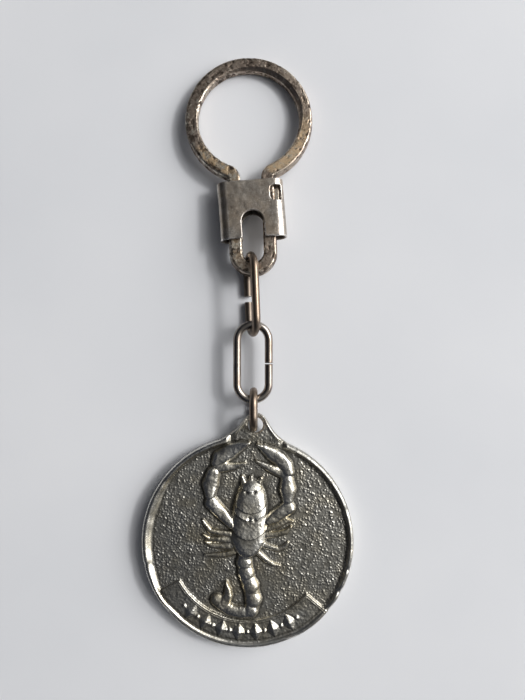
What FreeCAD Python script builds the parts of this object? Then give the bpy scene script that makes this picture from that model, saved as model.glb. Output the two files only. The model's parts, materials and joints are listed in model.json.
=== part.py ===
import FreeCAD, Part
import math
import os

# Keychain: a cast zodiac medal on three oval chain links and a spring key ring with a sliding lock sleeve.
# It lies face up on a flat surface at z = 0. The origin is the centre of the medal's back face,
# +Y runs from the medal up the chain to the key ring, and +Z is the side that shows. Millimetres.

Vector = FreeCAD.Vector
Placement = FreeCAD.Placement
Rotation = FreeCAD.Rotation
X_AXIS = Vector(1, 0, 0)
Y_AXIS = Vector(0, 1, 0)
Z_AXIS = Vector(0, 0, 1)

# --- driving dimensions: medal -------------------------------------------------------------------
DISC_R = 20.0            # outside radius of the cast disc
RIM_TOP = 3.1            # height of the rim, and of the lug, above the back face
RIM_W = 1.3              # radial width of the rim
FIELD_TOP = 2.3          # height of the sunk field inside the rim
EDGE_CHAMFER = 0.35      # softened back edge
MEDAL_TURN = -4.0        # how far the medal lies turned on the chain, degrees about Z
HOLE_R = 1.45            # hole in the lug
HOLE_Y = 22.15           # its distance from the disc's centre
HOLE_X = -0.1
LUG_TOP_R = 2.3          # radius of the lug's end around the hole
LUG_BOTTOM = 1.75        # the lug's back is relieved, so that a link's wire can pass under it
LUG_HALF_ROOT = 5.4      # half width of the lug where it meets the disc
LUG_ROOT_Y = 18.9
LUG_WAIST_X = 3.5        # half width of the lug at its concave flanks
LUG_WAIST_Y = 20.75
BAND_IN_R = 14.4         # raised ornament band along the lower edge
BAND_TOP = 2.8
BAND_MID = 268.0         # direction of the band's middle, degrees
BAND_HALF = 55.5         # half of its angular length
PIP_COUNT = 7            # lozenge ornaments along the band
PIP_STEP = 11.2          # degrees between them
PIP_TOP = 3.1

# --- driving dimensions: scorpion relief ---------------------------------------------------------
BODY_MID_Y = 4.5
BODY_HALF_W = 3.2
BODY_HALF_L = 7.4
BODY_RISE = 1.2
ARM_RISE = 0.9
LEG_RISE = 0.45
TAIL_RISE = 0.85
ARMS = [
    [(-4.0, 3.9), (-7.4, 7.2)], [(-7.6, 8.6), (-7.4, 12.6)],
    [(4.2, 4.8), (7.1, 7.0)], [(6.7, 9.0), (6.6, 12.2)],
]
ARM_W = 2.4
CLAWS = [
    [(-6.3, 14.9), (-4.4, 16.6), (-2.2, 17.8)], [(-5.8, 14.1), (-3.8, 14.0), (-2.0, 14.6)],
    [(6.4, 13.9), (5.2, 15.5), (3.3, 16.8), (1.7, 17.8)], [(5.4, 13.7), (3.4, 14.1), (1.5, 14.9)],
]
CLAW_W = 1.5
LEGS = [
    [(-2.6, 1.3), (-5.5, 1.5), (-7.2, 1.7), (-8.5, 3.2)], [(-2.6, 0.1), (-7.0, 0.1), (-8.3, 0.7)],
    [(-2.6, -0.9), (-6.5, -1.1), (-8.0, -0.6)], [(-2.2, -2.0), (-4.2, -2.6), (-7.8, -2.9)],
    [(2.6, 2.5), (5.2, 3.5), (7.0, 4.6), (8.0, 4.6)], [(2.6, 1.6), (5.2, 1.9), (7.8, 3.2)],
    [(2.4, -0.3), (5.8, -0.9), (7.4, 0.2)], [(1.8, -1.8), (3.5, -3.0), (6.2, -3.9)],
]
LEG_W = 0.85
TAIL = [(-0.5, -3.8), (0.1, -5.9), (1.1, -8.1), (1.8, -10.5), (1.5, -12.6), (-1.7, -12.9), (-4.3, -11.9)]
TAIL_R = 1.3
STING = [(-4.0, -11.4), (-3.1, -9.9), (-3.3, -8.2)]
STING_W = 1.1

# --- driving dimensions: chain links -------------------------------------------------------------
LINK_WIRE_D = 1.5
LONG_LINK_W = 7.4
UPPER_LINK_L = 15.9
MIDDLE_LINK_L = 15.55
LOWER_LINK_L = 8.35
LOWER_LINK_W = 6.6
UPPER_LINK_GAP = 0.9     # the upper link has sprung open
UPPER_LINK_GAP_AT = -0.6 # middle of the gap, along the side from the link's own middle
MIDDLE_LINK_GAP = 0.12
MIDDLE_LINK_GAP_AT = -0.35
LOWER_LINK_GAP = 0.15
UPPER_LINK_AT = Vector(0.78, 46.62, 3.62)
UPPER_LINK_LEAN = 14.5   # it stands on edge, leaning to one side
UPPER_LINK_YAW = 2.3
MIDDLE_LINK_AT = Vector(1.0, 33.97, 3.5)
LOWER_LINK_AT = Vector(1.13, 25.09, 3.31)

# --- driving dimensions: key ring and sleeve -----------------------------------------------------
WIRE_W = 2.4             # flat wire of the key ring, across its face
WIRE_T = 2.1             # its thickness
WIRE_CORNER = 0.45
RING_R = 10.75           # centreline radius of the ring
RING_V = 25.3            # its centre, measured along the legs from the centre of the loop
LEG_U = 3.17             # half spacing of the two legs, and the loop's centreline radius
SHOULDER_R = 1.5         # bend between ring and leg
SPLIT_V = 9.0            # the wire's two ends meet here, inside the sleeve
SPLIT_GAP = 0.25
TOOTH_OUT = 0.85         # the ring's free end carries a tooth that shows in the sleeve's window
TOOTH_L = 2.4
RING_AT = Vector(1.07, 54.47, 3.42)   # centre of the loop
RING_YAW = 2.0
RING_PITCH = -3.65       # the ring's far side rests on the surface, and the chain props up the loop
SLEEVE_W = 12.4
SLEEVE_T = 3.5
SHEET = 0.5
SLEEVE_L = 10.9
SLEEVE_V = 2.4           # the sleeve's lower edge, along the legs
SLEEVE_TURN = 2.5        # it sits slightly askew on the legs
NOTCH_W = 4.15
NOTCH_DEPTH = 5.15       # to the top of its round end
WINDOW_W = 2.1
WINDOW_L = 3.0
WINDOW_V = 10.6          # centre of the window, along the legs
LIP_R = 0.28             # rolled lip round the sleeve's lower mouth


def polar(radius, degrees):
    """Point at a radius and a direction in the XY plane."""
    a = math.radians(degrees)
    return Vector(radius * math.cos(a), radius * math.sin(a), 0)


def bar(start, end, width, z_low, z_high):
    """Straight raised bar with round ends."""
    a = Vector(start[0], start[1], z_low)
    b = Vector(end[0], end[1], z_low)
    along = (b - a).normalize()
    side = Vector(-along.y, along.x, 0) * (width / 2)
    left = Part.LineSegment(a + side, b + side).toShape()
    right = Part.LineSegment(b - side, a - side).toShape()
    far = Part.Arc(b + side, b + along * (width / 2), b - side).toShape()
    near = Part.Arc(a - side, a - along * (width / 2), a + side).toShape()
    face = Part.Face(Part.Wire([left, far, right, near]))
    return face.extrude(Z_AXIS * (z_high - z_low))


def stroke(points, width, z_low, z_high):
    """Chain of bars through the points."""
    return [bar(a, b, width, z_low, z_high) for a, b in zip(points, points[1:])]


def sector(r_in, r_out, start, end, z_low, z_high):
    """Part of a flat ring between two directions, extruded."""
    mid = (start + end) / 2
    inner = Part.Arc(polar(r_in, start), polar(r_in, mid), polar(r_in, end)).toShape()
    outer = Part.Arc(polar(r_out, end), polar(r_out, mid), polar(r_out, start)).toShape()
    side_a = Part.LineSegment(polar(r_in, end), polar(r_out, end)).toShape()
    side_b = Part.LineSegment(polar(r_out, start), polar(r_in, start)).toShape()
    face = Part.Face(Part.Wire([inner, side_a, outer, side_b]))
    face.translate(Z_AXIS * z_low)
    return face.extrude(Z_AXIS * (z_high - z_low))


def lug():
    """Flat eye at the top of the disc: a round end with concave flanks, relieved at the back."""
    hole = Vector(HOLE_X, HOLE_Y, LUG_BOTTOM)
    left_root = Vector(-LUG_HALF_ROOT, LUG_ROOT_Y, LUG_BOTTOM)
    right_root = Vector(LUG_HALF_ROOT, LUG_ROOT_Y, LUG_BOTTOM)
    left_waist = Vector(-LUG_WAIST_X, LUG_WAIST_Y, LUG_BOTTOM)
    right_waist = Vector(LUG_WAIST_X, LUG_WAIST_Y, LUG_BOTTOM)
    left_top = hole + polar(LUG_TOP_R, 150)
    right_top = hole + polar(LUG_TOP_R, 30)
    crown = hole + polar(LUG_TOP_R, 90)
    outline = Part.Wire([
        Part.Arc(left_top, crown, right_top).toShape(),
        Part.Arc(right_top, right_waist, right_root).toShape(),
        Part.LineSegment(right_root, left_root).toShape(),
        Part.Arc(left_root, left_waist, left_top).toShape(),
    ])
    return Part.Face(outline).extrude(Z_AXIS * (RIM_TOP - LUG_BOTTOM))


def scorpion_body():
    """Oval dome with a rounded shoulder, standing BODY_RISE above the field."""
    oval = Part.Ellipse(Vector(0, 0, 0), BODY_HALF_L, BODY_HALF_W).toShape()
    slab = Part.Face(Part.Wire([oval])).extrude(Z_AXIS * (BODY_RISE + 0.3))
    top = [e for e in slab.Edges if e.BoundBox.ZMin > BODY_RISE]
    dome = slab.makeFillet(BODY_RISE * 0.9, top)
    dome.rotate(Vector(0, 0, 0), Z_AXIS, 90)
    dome.translate(Vector(0, BODY_MID_Y, FIELD_TOP - 0.3))
    return dome


def scorpion():
    """Raised scorpion: arms, claws, legs, tail and sting as rounded bars, and a domed body."""
    low = FIELD_TOP - 0.3
    parts = [scorpion_body()]
    for points in ARMS:
        parts += stroke(points, ARM_W, low, FIELD_TOP + ARM_RISE)
    for points in CLAWS:
        parts += stroke(points, CLAW_W, low, FIELD_TOP + ARM_RISE - 0.1)
    for points in LEGS:
        parts += stroke(points, LEG_W, low, FIELD_TOP + LEG_RISE)
    for x, y in TAIL:
        parts.append(Part.makeCylinder(TAIL_R, TAIL_RISE + 0.3, Vector(x, y, low)))
    parts += stroke(STING, STING_W, low, FIELD_TOP + TAIL_RISE - 0.1)
    return parts


def ornament():
    """Raised band along the lower edge with plain lozenges on it."""
    start = BAND_MID - BAND_HALF
    end = BAND_MID + BAND_HALF
    parts = [sector(BAND_IN_R, DISC_R - RIM_W + 0.2, start, end, FIELD_TOP - 0.3, BAND_TOP)]
    mid_r = (BAND_IN_R + DISC_R - RIM_W) / 2
    half_h = 1.4
    half_w = 1.0
    for i in range(PIP_COUNT):
        turn = BAND_MID + (i - (PIP_COUNT - 1) / 2) * PIP_STEP
        corners = [(mid_r - half_h, 0), (mid_r, half_w), (mid_r + half_h, 0), (mid_r, -half_w)]
        loop = [Vector(x, y, BAND_TOP - 0.2) for x, y in corners]
        pip = Part.Face(Part.makePolygon(loop + loop[:1])).extrude(Z_AXIS * (PIP_TOP - BAND_TOP + 0.2))
        pip.rotate(Vector(0, 0, 0), Z_AXIS, turn)
        parts.append(pip)
    return parts


def medallion():
    """Cast disc with rim, sunk field, lug, ornament band and scorpion relief."""
    disc = Part.makeCylinder(DISC_R, RIM_TOP)
    disc = disc.makeChamfer(EDGE_CHAMFER, [disc.Edges[2]])
    field = Part.makeCylinder(DISC_R - RIM_W, RIM_TOP, Vector(0, 0, FIELD_TOP))
    plain = disc.cut(field)
    solid = plain.multiFuse([lug()] + scorpion() + ornament())
    hole = Part.makeCylinder(HOLE_R, RIM_TOP * 2, Vector(HOLE_X, HOLE_Y, -1))
    solid = solid.cut(hole)
    solid.rotate(Vector(0, 0, 0), Z_AXIS, MEDAL_TURN)
    return solid.Solids[0]


def oval_link(length, width, gap, gap_side, gap_at):
    """Wire link flat in XY, long along Y, with its ends butted near the middle of one long side."""
    r = (width - LINK_WIRE_D) / 2
    half = (length - width) / 2
    above = gap_at + gap / 2
    below = gap_at - gap / 2
    s = gap_side
    path = Part.Wire([
        Part.LineSegment(Vector(s * r, above, 0), Vector(s * r, half, 0)).toShape(),
        Part.Arc(Vector(s * r, half, 0), Vector(0, half + r, 0), Vector(-s * r, half, 0)).toShape(),
        Part.LineSegment(Vector(-s * r, half, 0), Vector(-s * r, -half, 0)).toShape(),
        Part.Arc(Vector(-s * r, -half, 0), Vector(0, -half - r, 0), Vector(s * r, -half, 0)).toShape(),
        Part.LineSegment(Vector(s * r, -half, 0), Vector(s * r, below, 0)).toShape(),
    ])
    section = Part.Wire([Part.makeCircle(LINK_WIRE_D / 2, Vector(s * r, above, 0), Y_AXIS)])
    return path.makePipeShell([section], True, False)


def stand_on_edge(link, lean):
    """Turns a flat link about its long axis until it stands up, leaning over to +X by lean degrees."""
    link.rotate(Vector(0, 0, 0), Y_AXIS, -(90 - lean))
    return link


def upper_link():
    flat = oval_link(UPPER_LINK_L, LONG_LINK_W, UPPER_LINK_GAP, -1, UPPER_LINK_GAP_AT)
    link = stand_on_edge(flat, UPPER_LINK_LEAN)
    link.rotate(Vector(0, 0, 0), Z_AXIS, UPPER_LINK_YAW)
    link.translate(UPPER_LINK_AT)
    return link


def middle_link():
    link = oval_link(MIDDLE_LINK_L, LONG_LINK_W, MIDDLE_LINK_GAP, 1, MIDDLE_LINK_GAP_AT)
    link.translate(MIDDLE_LINK_AT)
    return link


def lower_link():
    link = stand_on_edge(oval_link(LOWER_LINK_L, LOWER_LINK_W, LOWER_LINK_GAP, -1, 0), 0)
    link.translate(LOWER_LINK_AT)
    return link


def ring_pose():
    """Where the key ring lies: turned by its yaw, and tipped so that its far side touches the surface."""
    return Placement(RING_AT, Rotation(Z_AXIS, RING_YAW) * Rotation(X_AXIS, RING_PITCH))


def ring_path():
    """Centreline of the bent wire, from its end below the split, round the loop and ring, to the other end."""
    shoulder_u = LEG_U + SHOULDER_R
    shoulder_v = RING_V - math.sqrt((RING_R + SHOULDER_R) ** 2 - shoulder_u ** 2)
    toward = Vector(shoulder_u, shoulder_v - RING_V, 0).normalize()
    meet = Vector(0, RING_V, 0) + toward * RING_R
    mirror = Vector(-meet.x, meet.y, 0)
    inward = (Vector(-1, 0, 0) - toward).normalize() * SHOULDER_R
    bend = Vector(shoulder_u, shoulder_v, 0) + inward
    bend_mirror = Vector(-bend.x, bend.y, 0)
    top = Vector(0, RING_V + RING_R, 0)
    low_end = Vector(LEG_U, SPLIT_V - SPLIT_GAP, 0)
    return low_end, Part.Wire([
        Part.LineSegment(low_end, Vector(LEG_U, 0, 0)).toShape(),
        Part.Arc(Vector(LEG_U, 0, 0), Vector(0, -LEG_U, 0), Vector(-LEG_U, 0, 0)).toShape(),
        Part.LineSegment(Vector(-LEG_U, 0, 0), Vector(-LEG_U, shoulder_v, 0)).toShape(),
        Part.Arc(Vector(-LEG_U, shoulder_v, 0), bend_mirror, mirror).toShape(),
        Part.Arc(mirror, top, meet).toShape(),
        Part.Arc(meet, bend, Vector(LEG_U, shoulder_v, 0)).toShape(),
        Part.LineSegment(Vector(LEG_U, shoulder_v, 0), Vector(LEG_U, SPLIT_V, 0)).toShape(),
    ])


def rounded_box(x_size, y_size, z_size, corner):
    """Box centred on the origin, its edges along Y rounded."""
    box = Part.makeBox(x_size, y_size, z_size, Vector(-x_size / 2, -y_size / 2, -z_size / 2))
    edges = [e for e in box.Edges if abs(e.tangentAt(e.FirstParameter).y) > 0.9]
    return box.makeFillet(corner, edges)


def ring_frame():
    """Key ring, two legs and chain loop, bent from one length of flat wire, with the latch tooth."""
    low_end, path = ring_path()
    block = rounded_box(WIRE_W, 1.0, WIRE_T, WIRE_CORNER)
    block.translate(low_end + Vector(0, 0.5, 0))
    face = [f for f in block.Faces if abs(f.CenterOfMass.y - low_end.y) < 1e-6][0]
    frame = path.makePipeShell([face.OuterWire], True, False)
    tooth = rounded_box(TOOTH_OUT + 0.8, TOOTH_L, WIRE_T - 0.8, 0.3)
    tooth_mid = LEG_U + WIRE_W / 2 + (TOOTH_OUT - 0.8) / 2
    tooth.translate(Vector(tooth_mid, SPLIT_V + TOOTH_L / 2 + 0.3, 0))
    frame = frame.fuse(tooth)
    frame.Placement = ring_pose()
    return frame.Solids[0]


def flat_tube_face(width, thickness, y):
    """Cross-section with flat front and back and round sides."""
    r = thickness / 2
    flat = width / 2 - r
    front = Part.LineSegment(Vector(-flat, y, r), Vector(flat, y, r)).toShape()
    right = Part.Arc(Vector(flat, y, r), Vector(flat + r, y, 0), Vector(flat, y, -r)).toShape()
    back = Part.LineSegment(Vector(flat, y, -r), Vector(-flat, y, -r)).toShape()
    left = Part.Arc(Vector(-flat, y, -r), Vector(-flat - r, y, 0), Vector(-flat, y, r)).toShape()
    return Part.Face(Part.Wire([front, right, back, left]))


def notch_cutter():
    """U notch from the lower edge, through front and back."""
    r = NOTCH_W / 2
    top = NOTCH_DEPTH - r
    slot = Part.makeBox(NOTCH_W, top + 1, SLEEVE_T * 2, Vector(-r, -1, -SLEEVE_T))
    return slot.fuse(Part.makeCylinder(r, SLEEVE_T * 2, Vector(0, top, -SLEEVE_T)))


def window_cutter():
    """Slot with round ends through the right front fold, from the front to the middle of the side."""
    v = WINDOW_V - SLEEVE_V
    left = SLEEVE_W / 2 - WINDOW_W
    r = 0.7
    cutter = Part.makeBox(WINDOW_W + 1, WINDOW_L, SLEEVE_T, Vector(left, v - WINDOW_L / 2, 0))
    edges = [e for e in cutter.Edges
             if abs(e.tangentAt(e.FirstParameter).z) > 0.9 and abs(e.CenterOfMass.x - left) < 0.1]
    return cutter.makeFillet(r, edges)


def lock_sleeve():
    """Flattened sheet-metal tube round both legs, with a notch for the link and a window for the tooth."""
    outer = flat_tube_face(SLEEVE_W, SLEEVE_T, 0).extrude(Y_AXIS * SLEEVE_L)
    inner = flat_tube_face(SLEEVE_W - 2 * SHEET, SLEEVE_T - 2 * SHEET, -1).extrude(Y_AXIS * (SLEEVE_L + 2))
    lip = flat_tube_face(SLEEVE_W + 2 * LIP_R, SLEEVE_T + LIP_R, 0).extrude(Y_AXIS * (2 * LIP_R))
    sleeve = outer.fuse(lip).cut(inner).cut(notch_cutter()).cut(window_cutter())
    sleeve.rotate(Vector(0, SLEEVE_L / 2, 0), Z_AXIS, SLEEVE_TURN)
    sleeve.translate(Vector(0, SLEEVE_V, 0))
    sleeve.Placement = ring_pose().multiply(sleeve.Placement)
    return sleeve.Solids[0]


def main():
    os.makedirs("parts", exist_ok=True)
    nodes = {
        "medallion": medallion(),
        "lower_link": lower_link(),
        "middle_link": middle_link(),
        "upper_link": upper_link(),
        "ring_frame": ring_frame(),
        "lock_sleeve": lock_sleeve(),
    }
    for name, shape in nodes.items():
        shape.exportStep(f"parts/{name}.step")


main()
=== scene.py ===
import json
import math

import bpy
import numpy as np
from mathutils import Matrix, Vector
from mathutils.geometry import delaunay_2d_cdt
from mathutils.kdtree import KDTree


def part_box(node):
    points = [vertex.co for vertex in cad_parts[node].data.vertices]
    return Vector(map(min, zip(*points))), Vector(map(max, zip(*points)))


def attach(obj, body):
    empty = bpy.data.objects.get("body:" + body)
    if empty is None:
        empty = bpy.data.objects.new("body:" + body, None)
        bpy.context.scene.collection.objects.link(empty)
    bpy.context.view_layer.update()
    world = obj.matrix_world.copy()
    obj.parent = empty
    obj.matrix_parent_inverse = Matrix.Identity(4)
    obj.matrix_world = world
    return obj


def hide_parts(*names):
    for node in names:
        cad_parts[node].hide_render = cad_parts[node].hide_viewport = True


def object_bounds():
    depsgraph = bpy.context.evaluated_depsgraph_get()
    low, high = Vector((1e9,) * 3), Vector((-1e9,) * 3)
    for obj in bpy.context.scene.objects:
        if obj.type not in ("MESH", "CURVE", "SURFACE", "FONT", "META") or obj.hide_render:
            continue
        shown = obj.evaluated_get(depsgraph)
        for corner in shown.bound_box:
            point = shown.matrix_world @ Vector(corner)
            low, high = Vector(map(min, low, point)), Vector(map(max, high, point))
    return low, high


# Keychain: cast zodiac medal, three wire links, a spring key ring and its lock sleeve, on a pale table.
# Shapes are worked out in millimetres in the frame of the CAD model, and become metres when a mesh is made.

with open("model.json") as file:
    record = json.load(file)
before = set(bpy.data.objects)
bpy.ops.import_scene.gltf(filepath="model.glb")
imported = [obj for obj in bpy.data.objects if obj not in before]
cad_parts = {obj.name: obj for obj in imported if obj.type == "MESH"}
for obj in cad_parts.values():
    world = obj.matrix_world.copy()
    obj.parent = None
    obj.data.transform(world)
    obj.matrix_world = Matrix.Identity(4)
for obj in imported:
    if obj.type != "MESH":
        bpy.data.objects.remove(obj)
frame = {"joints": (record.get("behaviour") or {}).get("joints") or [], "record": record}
CAD_BOX = [list(corner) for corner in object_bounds()]
JOINTS = {j["name"]: j for j in frame["joints"]}
MOUNTS = {m["name"]: m for m in frame["record"]["mounts"]}
MM = 0.001

# --- medal, in its own frame: the lug points along +Y ----------------------------------------------
DISC_R = 20.0
HOLE = (-0.1, 22.15)
HOLE_R = 1.45
FIELD_Z = 2.3
BAND_Z = 2.78
LUG_Z = 2.72
LUG_BACK_Z = 1.75
LUG_HALF = 4.7
DISC_EDGE_R = 0.68
LUG_EDGE_R = 0.32
BACK_EDGE = 0.35
BACK_LIFT = 0.05
CREST_Z = 3.08
CREST_R = 19.32
RELIEF_SCALE = 1.12
LUG_OUTLINE = [
    (6.6, 18.88), (5.4, 19.6), (4.1, 20.55), (3.0, 21.8), (1.95, 23.25), (1.05, 24.15), (-0.1, 24.45),
    (-1.25, 24.15), (-2.15, 23.25), (-3.2, 21.8), (-4.3, 20.65), (-5.6, 19.6), (-6.8, 18.81),
]
BAND_START = 212.5
BAND_END = 323.5
BAND_IN_R = 14.5
PIP_COUNT = 7
PIP_STEP = 11.2
PIP_R = 16.8
# Each ridge: the points it runs through, its width at each, and its rise above the field.
RIDGES = [
    ([(-3.3, 3.2), (-4.8, 4.7), (-7.3, 7.0)], [1.8, 2.5, 2.8], 1.0),
    ([(-7.7, 8.5), (-7.8, 10.5), (-7.4, 12.6)], [2.2, 3.3, 2.6], 1.1),
    ([(-7.0, 14.6), (-6.3, 15.6), (-4.5, 16.9), (-2.6, 18.0), (-1.1, 18.7)], [2.0, 3.1, 3.1, 2.0, 0.8], 1.0),
    ([(-6.5, 13.6), (-5.2, 13.8), (-3.8, 14.0), (-1.5, 14.8)], [2.0, 1.9, 1.5, 0.5], 0.8),
    ([(3.6, 4.3), (4.8, 5.2), (7.1, 7.0)], [1.8, 2.6, 2.9], 1.0),
    ([(6.9, 8.6), (6.8, 10.5), (6.6, 12.2)], [2.2, 3.3, 2.6], 1.1),
    ([(6.7, 13.7), (6.1, 15.0), (4.8, 16.2), (3.3, 17.0), (1.8, 17.9), (0.6, 18.5)],
     [2.3, 2.8, 2.9, 2.6, 1.8, 0.7], 1.0),
    ([(5.7, 13.4), (4.4, 13.9), (3.2, 14.3), (1.8, 14.9), (0.5, 15.5)], [2.1, 1.9, 1.7, 1.2, 0.5], 0.8),
    ([(-3.0, 1.3), (-5.5, 1.5), (-7.2, 1.7), (-8.3, 2.9), (-8.7, 3.6)], [1.4, 1.3, 1.2, 1.0, 0.6], 0.6),
    ([(-3.0, 0.1), (-5.5, 0.2), (-7.2, 0.1), (-8.4, 0.9)], [1.3, 1.2, 1.1, 0.6], 0.55),
    ([(-2.9, -0.9), (-5.0, -1.1), (-6.7, -1.0), (-8.0, -0.4)], [1.3, 1.2, 1.1, 0.6], 0.55),
    ([(-2.4, -2.0), (-4.2, -2.6), (-6.0, -2.8), (-7.9, -2.9)], [1.2, 1.2, 1.0, 0.5], 0.5),
    ([(2.9, 2.5), (5.2, 3.5), (7.0, 4.6), (8.1, 4.6)], [1.4, 1.3, 1.1, 0.6], 0.6),
    ([(2.9, 1.5), (5.2, 1.9), (7.0, 2.5), (7.9, 3.5)], [1.3, 1.2, 1.1, 0.6], 0.55),
    ([(2.7, -0.2), (4.3, -0.6), (5.8, -0.9), (7.0, -0.4), (7.5, 0.5)], [1.3, 1.2, 1.1, 1.0, 0.6], 0.55),
    ([(2.1, -1.8), (3.5, -3.0), (4.8, -3.7), (6.3, -3.9)], [1.2, 1.1, 1.0, 0.5], 0.55),
    ([(-1.5, 11.0), (-1.9, 12.3)], [1.3, 0.8], 0.6),
    ([(-0.2, 11.6), (-0.2, 12.4)], [1.0, 0.7], 0.5),
    ([(1.2, 11.0), (1.7, 12.2)], [1.3, 0.8], 0.6),
    ([(-0.4, -3.0), (0.0, -5.9), (1.1, -8.2), (1.8, -10.7), (1.6, -12.5)], [2.8, 3.0, 3.0, 3.0, 2.7], 0.88),
    ([(1.6, -12.9), (-0.5, -13.2), (-2.4, -12.9), (-4.2, -12.0)], [2.5, 2.4, 2.4, 2.2], 0.85),
    ([(-5.0, -11.2), (-4.1, -11.7)], [2.6, 2.9], 0.75),
    ([(-3.6, -11.6), (-3.0, -10.2), (-3.1, -9.0), (-3.5, -7.6)], [2.3, 1.9, 1.4, 0.5], 0.9),
]
# Tail beads: centre, radius and rise.
BEADS = [
    ((-0.4, -3.8), 1.55, 1.05), ((0.1, -5.8), 1.6, 1.1), ((1.1, -8.1), 1.65, 1.12),
    ((1.8, -10.6), 1.65, 1.12), ((1.5, -12.7), 1.45, 1.0),
    ((-0.5, -13.1), 1.3, 0.9), ((-2.5, -12.8), 1.25, 0.85),
]
BODY_RISE = 1.4
HEAD_Y = 12.4
PLATE_EDGES = [9.7, 5.75, 4.35, 0.85, -3.6]
PLATE_CURVE = 0.17
PLATE_STEP = 0.34
BODY_PITS = [(0.0, 4.7), (1.0, 4.6), (-0.9, 9.6), (0.6, 9.7)]
# Knocks in the rim: direction, half width in degrees and depth.
RIM_DENTS = [
    (336, 2.5, 0.4), (325, 3.5, 0.3), (349, 1.6, 0.22), (22, 2.0, 0.2),
    (41, 1.5, 0.22), (148, 3.0, 0.15), (197, 2.0, 0.2),
]

# --- links -----------------------------------------------------------------------------------------
LINK_WIRE_R = 0.75
LINKS = {
    # piece: CAD node, body, length, width, lean from upright, turn about Z
    "link_upper_wire": ("upper_link", "link_upper", 15.9, 7.4, 14.5, 2.3),
    "link_middle_wire": ("middle_link", "link_middle", 15.55, 7.4, None, 0.0),
    "link_lower_wire": ("lower_link", "link_lower", 8.35, 6.6, 0.0, 0.0),
}
# piece: gap between the wire's ends, its place along the side, and its side
LINK_GAPS = {
    "link_upper_wire": (0.9, -0.6, -1),
    "link_middle_wire": (0.05, -0.35, 1),
    "link_lower_wire": (0.15, 0.0, -1),
}

# --- key ring and sleeve, in the ring's own frame: u across, v along the legs, n up ------------------
RING_V = 25.3
LEG_U = 3.17
SHOULDER_R = 1.5
SPLIT_V = 9.0
SPLIT_GAP = 0.25
HALF_W = 1.2
HALF_T = 1.05
WALL_LEAN = 0.16
RING_R = MOUNTS["key_eye"]["dims"]["r_mm"] + HALF_W
SHEET = 0.5
SLEEVE_V = 2.4
SLEEVE_L = 10.9
SLEEVE_TURN = 2.5
FOLD_R = 1.5
FLAT_HALF = 4.45
NOTCH_HALF = 2.075
NOTCH_DEPTH = 5.15
WINDOW_V = 8.2
WINDOW_HALF_L = 1.42
FOLD = math.pi * FOLD_R
PERIMETER = 4 * FLAT_HALF + 2 * FOLD
FRONT_MID = 2 * FLAT_HALF + FOLD
LEFT_FOLD = FRONT_MID + FLAT_HALF

# --- how fine the meshes are: spacing in millimetres, and points round the wire's section -------------
MEDAL_PITCH = 0.13
BACK_PITCH = 0.32
LINK_STEP = 0.16
RING_STEP = 0.15
SHEET_PITCH = 0.2
LINK_SIDES = 36
FACE_POINTS = 15
CORNER_POINTS = 6
BEVEL_POINTS = 7

# --- materials: the colours dark, base, bright and tint, roughness where dull and where worn, grain of the
# noise, height of the bumps in millimetres, bright speckle, and how much the roughness varies
LOOKS = {
    "medal_pewter": ((0.42, 0.40, 0.35), (0.66, 0.64, 0.58), (0.87, 0.86, 0.82), (0.62, 0.54, 0.37),
                     (0.32, 0.22), 1.1, 0.02, 0.15, 1.0),
    "link_wire_worn": ((0.17, 0.14, 0.12), (0.28, 0.24, 0.21), (0.76, 0.74, 0.70), (0.27, 0.20, 0.15),
                       (0.25, 0.18), 0.8, 0.001, 0.05, 0.2),
    "link_wire_bronze": ((0.15, 0.118, 0.095), (0.225, 0.182, 0.148), (0.46, 0.41, 0.35),
                         (0.225, 0.165, 0.12), (0.36, 0.27), 0.8, 0.003, 0.06, 0.4),
    "ring_wire_steel": ((0.25, 0.195, 0.155), (0.49, 0.40, 0.33), (0.96, 0.88, 0.74), (0.86, 0.63, 0.39),
                        (0.34, 0.22), 1.1, 0.02, 0.3, 1.0),
    "sleeve_sheet_steel": ((0.28, 0.245, 0.21), (0.49, 0.44, 0.38), (0.92, 0.89, 0.85), (0.45, 0.36, 0.27),
                           (0.36, 0.22), 1.5, 0.02, 0.6, 1.0),
}


# --- table, lights and camera -----------------------------------------------------------------------
TABLE_HALF = 0.6
LIGHT_DISTANCE = 1.6
LIGHT_COLOUR = (1.0, 0.99, 0.98)
WINDOW_SIDE = Vector((0.71, 0.23, 0.62)).normalized()
WINDOW_SIZE = (0.4, 0.18)
WINDOW_POWER = 9.5
WALL_SIDE = Vector((0.80, 0.25, 0.55)).normalized()
WALL_SIZE = (1.9, 1.3)
WALL_POWER = 29.5
CAMERA_LENS = 27.8
CAMERA_PLACE = (2.79, 36.23, 104.4)


# === noise and small geometry helpers ================================================================
def hashed(ix, iy, seed):
    """Repeatable value from 0 to 1 for each pair of whole numbers."""
    n = (ix.astype(np.int64) * 374761393 + iy.astype(np.int64) * 668265263 + seed * 144269) & 0xFFFFFFFF
    n = ((n ^ (n >> 13)) * 1274126177) & 0xFFFFFFFF
    return ((n ^ (n >> 16)) & 0xFFFF) / 65535.0


def smooth(t):
    t = np.clip(t, 0, 1)
    return t * t * (3 - 2 * t)


def mix(a, b, t):
    return a + (b - a) * t


def bell(offset, width):
    """1 where the offset is 0, falling away over the width."""
    return np.exp(-(offset / width) ** 2)


def between(value, start, rise, end, fall):
    """1 between start and end, with soft edges as wide as rise and fall."""
    return smooth((value - start) / rise) * smooth((end - value) / fall)


def noise(x, y, size, seed):
    """Smooth noise from -0.5 to 0.5 with features about size wide."""
    gx, gy = np.asarray(x) / size, np.asarray(y) / size
    ix, iy = np.floor(gx), np.floor(gy)
    fx, fy = smooth(gx - ix), smooth(gy - iy)
    low = mix(hashed(ix, iy, seed), hashed(ix + 1, iy, seed), fx)
    high = mix(hashed(ix, iy + 1, seed), hashed(ix + 1, iy + 1, seed), fx)
    return mix(low, high, fy) - 0.5


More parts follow.
